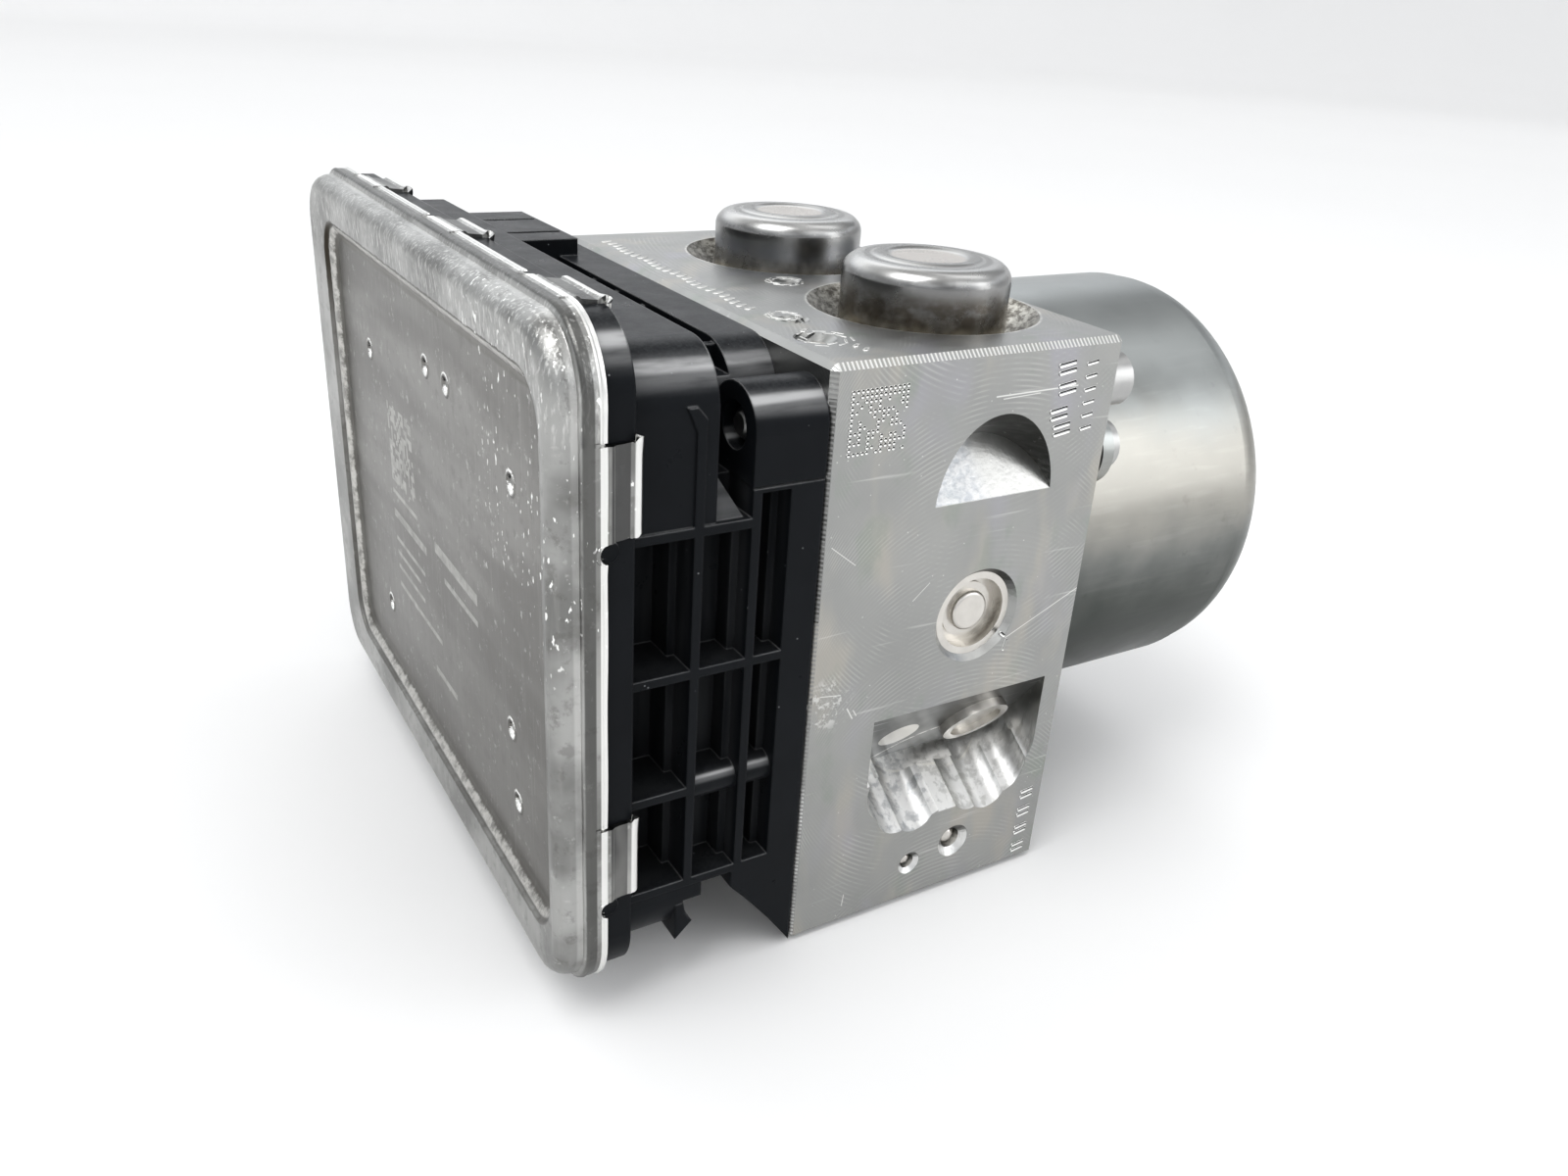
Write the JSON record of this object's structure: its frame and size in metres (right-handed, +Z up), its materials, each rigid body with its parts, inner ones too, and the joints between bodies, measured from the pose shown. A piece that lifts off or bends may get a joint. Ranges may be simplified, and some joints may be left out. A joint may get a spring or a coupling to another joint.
{
  "type": "abs brake module",
  "caption": "Anti-lock brake module: machined valve block between a flat lidded control unit with connector and a round pump motor, with two domed accumulator cans on top.",
  "frame": {"origin": "centre of the hydraulic block's base face", "axes": "+X from the control unit to the motor, along the motor shaft; +Z up, out of the accumulator cans; -Y the near side with the pump plug"},
  "size_m": [0.1305, 0.11, 0.0905],
  "materials": {
    "block_aluminium": "machined, fine milling arcs, small scratches",
    "lid_aluminium": "pressed sheet, mottled grey, scratched",
    "bright_aluminium": "turned, anodised",
    "housing_plastic": "black glass-filled moulding",
    "holder_plastic": "dark moulding",
    "motor_steel": "deep-drawn, zinc plated, mottled",
    "cap_steel": "deep-drawn, zinc plated",
    "plug_steel": "turned or pressed plugs and balls",
    "screw_steel": "zinc-plated screws",
    "bright_steel": "ground",
    "spring_steel": "drawn wire",
    "core_steel": "laminated",
    "seal_rubber": "moulded rubber",
    "board_green": "circuit board with parts",
    "pin_brass": "tinned pins",
    "winding_copper": "enamelled copper",
    "magnet_ferrite": "sintered ferrite",
    "brush_carbon": "pressed carbon"
  },
  "bodies": {
    "module": {"accumulator_cap_far": "cap_steel", "accumulator_cap_near": "cap_steel", "accumulator_spring_far": "spring_steel", "accumulator_spring_near": "spring_steel", "block_seal": "seal_rubber", "brush_holder": "holder_plastic", "brush_springs": "spring_steel", "brushes": "brush_carbon", "circuit_board": "board_green", "connector_pins": "pin_brass", "contact_pins": "pin_brass", "ecu_housing": "housing_plastic", "ecu_lid": "lid_aluminium", "front_bearing": "bright_steel", "gallery_balls": "plug_steel", "housing_screws": "screw_steel", "hydraulic_block": "block_aluminium", "inlet_valve_bodies": "bright_steel", "lid_seal": "seal_rubber", "motor_can": "motor_steel", "motor_front_plate": "bright_steel", "motor_magnets": "magnet_ferrite", "motor_screws": "screw_steel", "outlet_valve_bodies": "bright_steel", "pocket_plugs": "plug_steel", "pump_plug_far": "plug_steel", "pump_plug_near": "plug_steel", "pump_sleeve_far": "bright_steel", "pump_sleeve_near": "bright_steel", "pump_spring_far": "spring_steel", "pump_spring_near": "spring_steel", "rear_bearing": "bright_steel", "top_plugs": "plug_steel", "valve_coils": "winding_copper"},
    "rotor": {"motor_shaft": "bright_steel", "rotor_core": "core_steel", "rotor_windings": "winding_copper", "commutator": "winding_copper"},
    "ring": {"eccentric_ring": "bright_steel"},
    "pump_piston_near_body": {"pump_piston_near": "bright_steel"},
    "pump_piston_far_body": {"pump_piston_far": "bright_steel"},
    "accumulator_piston_near_body": {"accumulator_piston_near": "bright_aluminium", "accumulator_seal_near": "seal_rubber"},
    "accumulator_piston_far_body": {"accumulator_piston_far": "bright_aluminium", "accumulator_seal_far": "seal_rubber"},
    "inlet_plunger_1_body": {"inlet_plunger_1": "bright_steel"},
    "inlet_plunger_2_body": {"inlet_plunger_2": "bright_steel"},
    "inlet_plunger_3_body": {"inlet_plunger_3": "bright_steel"},
    "inlet_plunger_4_body": {"inlet_plunger_4": "bright_steel"},
    "outlet_plunger_1_body": {"outlet_plunger_1": "bright_steel"},
    "outlet_plunger_2_body": {"outlet_plunger_2": "bright_steel"},
    "outlet_plunger_3_body": {"outlet_plunger_3": "bright_steel"},
    "outlet_plunger_4_body": {"outlet_plunger_4": "bright_steel"}
  },
  "joints": [
    {"name": "motor_spin", "type": "hinge", "parent": "module", "child": "rotor", "pos_m": [0.03, 0, 0.0458], "axis": [1, 0, 0], "continuous": true},
    {"name": "ring_spin", "type": "hinge", "parent": "rotor", "child": "ring", "pos_m": [0.0038, 0, 0.0466], "axis": [1, 0, 0], "continuous": true},
    {"name": "pump_stroke_near", "type": "slide", "parent": "module", "child": "pump_piston_near_body", "axis": [0, -1, 0], "range_m": [0, 0.0016], "stiffness_N_per_m": 1500, "springref_m": -0.002, "deforming": ["pump_spring_near"]},
    {"name": "pump_stroke_far", "type": "slide", "parent": "module", "child": "pump_piston_far_body", "axis": [0, 1, 0], "range_m": [0, 0.0016], "stiffness_N_per_m": 1500, "springref_m": -0.002, "deforming": ["pump_spring_far"]},
    {"name": "accumulator_stroke_near", "type": "slide", "parent": "module", "child": "accumulator_piston_near_body", "axis": [0, 0, 1], "range_m": [0, 0.008], "stiffness_N_per_m": 1500, "springref_m": -0.004, "deforming": ["accumulator_spring_near"]},
    {"name": "accumulator_stroke_far", "type": "slide", "parent": "module", "child": "accumulator_piston_far_body", "axis": [0, 0, 1], "range_m": [0, 0.008], "stiffness_N_per_m": 1500, "springref_m": -0.004, "deforming": ["accumulator_spring_far"]},
    {"name": "inlet_valve_1", "type": "slide", "parent": "module", "child": "inlet_plunger_1_body", "axis": [1, 0, 0], "range_m": [0, 0.0004], "stiffness_N_per_m": 1000, "springref_m": -0.0015},
    {"name": "inlet_valve_2", "type": "slide", "parent": "module", "child": "inlet_plunger_2_body", "axis": [1, 0, 0], "range_m": [0, 0.0004], "stiffness_N_per_m": 1000, "springref_m": -0.0015},
    {"name": "inlet_valve_3", "type": "slide", "parent": "module", "child": "inlet_plunger_3_body", "axis": [1, 0, 0], "range_m": [0, 0.0004], "stiffness_N_per_m": 1000, "springref_m": -0.0015},
    {"name": "inlet_valve_4", "type": "slide", "parent": "module", "child": "inlet_plunger_4_body", "axis": [1, 0, 0], "range_m": [0, 0.0004], "stiffness_N_per_m": 1000, "springref_m": -0.0015},
    {"name": "outlet_valve_1", "type": "slide", "parent": "module", "child": "outlet_plunger_1_body", "axis": [-1, 0, 0], "range_m": [0, 0.0004], "stiffness_N_per_m": 1000, "springref_m": -0.0015},
    {"name": "outlet_valve_2", "type": "slide", "parent": "module", "child": "outlet_plunger_2_body", "axis": [-1, 0, 0], "range_m": [0, 0.0004], "stiffness_N_per_m": 1000, "springref_m": -0.0015},
    {"name": "outlet_valve_3", "type": "slide", "parent": "module", "child": "outlet_plunger_3_body", "axis": [-1, 0, 0], "range_m": [0, 0.0004], "stiffness_N_per_m": 1000, "springref_m": -0.0015},
    {"name": "outlet_valve_4", "type": "slide", "parent": "module", "child": "outlet_plunger_4_body", "axis": [-1, 0, 0], "range_m": [0, 0.0004], "stiffness_N_per_m": 1000, "springref_m": -0.0015}
  ]
}
